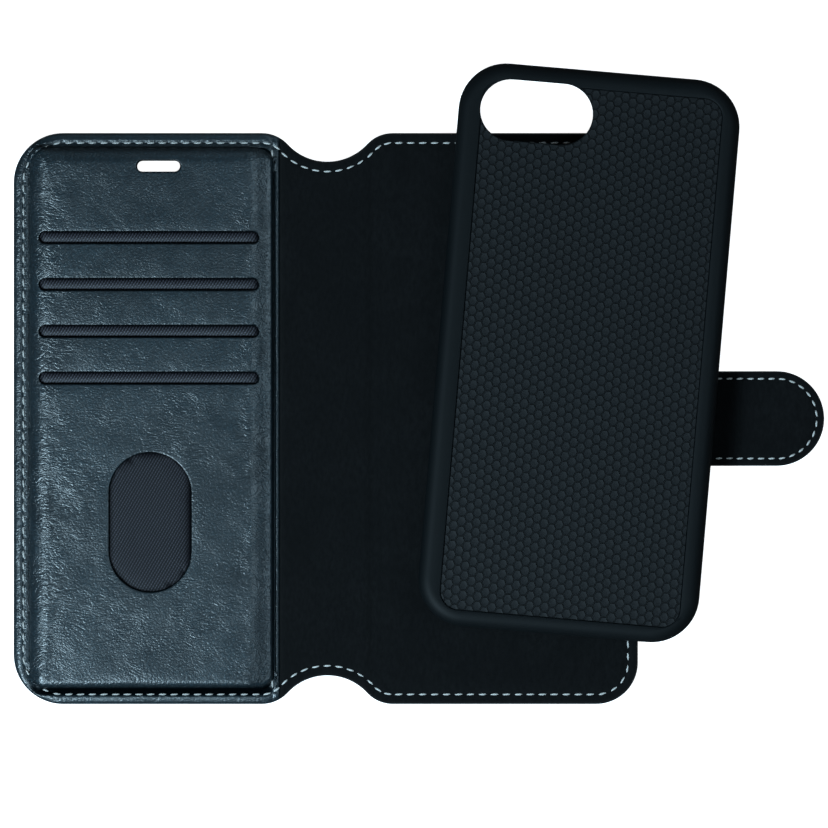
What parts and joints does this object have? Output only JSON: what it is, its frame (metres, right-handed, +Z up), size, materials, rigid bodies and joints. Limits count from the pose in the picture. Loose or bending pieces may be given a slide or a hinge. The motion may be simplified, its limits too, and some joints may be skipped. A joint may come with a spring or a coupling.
{
  "type": "phone wallet case",
  "caption": "Folding leather phone wallet with card slots, a magnetic strap clasp and a detachable phone shell that docks on magnets.",
  "frame": {"origin": "middle of the spine, on the underside of the open wallet", "axes": "+X across the open wallet towards the clasp strap, +Y along the fold lines towards the camera end, +Z up out of the inside"},
  "size_m": [0.2044, 0.1612, 0.0134],
  "materials": {
    "outer_leather": "fine pebbled grain, satin",
    "panel_leather": "fine pebbled grain, satin",
    "board": "pressed fibre board",
    "lining": "microfibre suede",
    "leather_thread": "bonded polyester thread",
    "lining_thread": "bonded polyester thread",
    "pocket_nylon": "fine twill nylon",
    "foam": "closed-cell foam",
    "steel": "plated sheet steel",
    "magnet": "nickel-plated magnet",
    "soft_touch_shell": "soft-touch matte",
    "case_microfibre": "short-pile microfibre",
    "hex_inlay": "matte, small hexagonal cells"
  },
  "bodies": {
    "back_cover": {"back_outer_skin": "outer_leather", "back_board": "board", "dock_magnets": "magnet", "back_lining": "lining", "back_thread": "lining_thread", "strap_root": "outer_leather"},
    "spine": {"spine_outer_skin": "outer_leather", "spine_board": "board", "spine_lining": "lining", "spine_thread": "lining_thread"},
    "front_cover": {"front_outer_skin": "outer_leather", "front_board": "board", "clasp_plate": "steel", "card_pocket_1": "pocket_nylon", "card_pocket_2": "pocket_nylon", "card_pocket_3": "pocket_nylon", "card_pocket_4": "pocket_nylon", "panel_foam": "foam", "front_panel": "panel_leather", "front_thread": "leather_thread"},
    "strap_link": {"strap_link_skin": "outer_leather", "strap_link_lining": "lining", "strap_link_thread": "lining_thread"},
    "strap_tab": {"strap_tab_skin": "outer_leather", "strap_tab_stiffener": "board", "clasp_magnet": "magnet", "strap_tab_lining": "lining", "strap_tab_thread": "lining_thread"},
    "inner_case": {"case_shell": "soft_touch_shell", "case_liner": "case_microfibre", "case_steel_plate": "steel", "case_back_inlay": "hex_inlay"}
  },
  "joints": [
    {"name": "spine_fold", "type": "hinge", "parent": "back_cover", "child": "spine", "pos_m": [0.011, 0, 0.00045], "axis": [0, 1, 0], "range_deg": [-90, 90]},
    {"name": "front_fold", "type": "hinge", "parent": "spine", "child": "front_cover", "pos_m": [-0.011, 0, 0.00045], "axis": [0, 1, 0], "range_deg": [-90, 90]},
    {"name": "case_lift", "type": "slide", "parent": "back_cover", "child": "inner_case", "axis": [0, 0, 1], "range_m": [0, 0.06]},
    {"name": "strap_root_fold", "type": "hinge", "parent": "back_cover", "child": "strap_link", "pos_m": [0.0808, 0, 0.001], "axis": [0, -1, 0], "range_deg": [0, 90.01]},
    {"name": "strap_tab_fold", "type": "hinge", "parent": "strap_link", "child": "strap_tab", "pos_m": [0.1047, 0, 0.001], "axis": [0, -1, 0], "range_deg": [-90, 90]}
  ],
  "couplings": [
    {"joint": "strap_root_fold", "follows": "case_lift", "rad_per_m": 26.18}
  ]
}
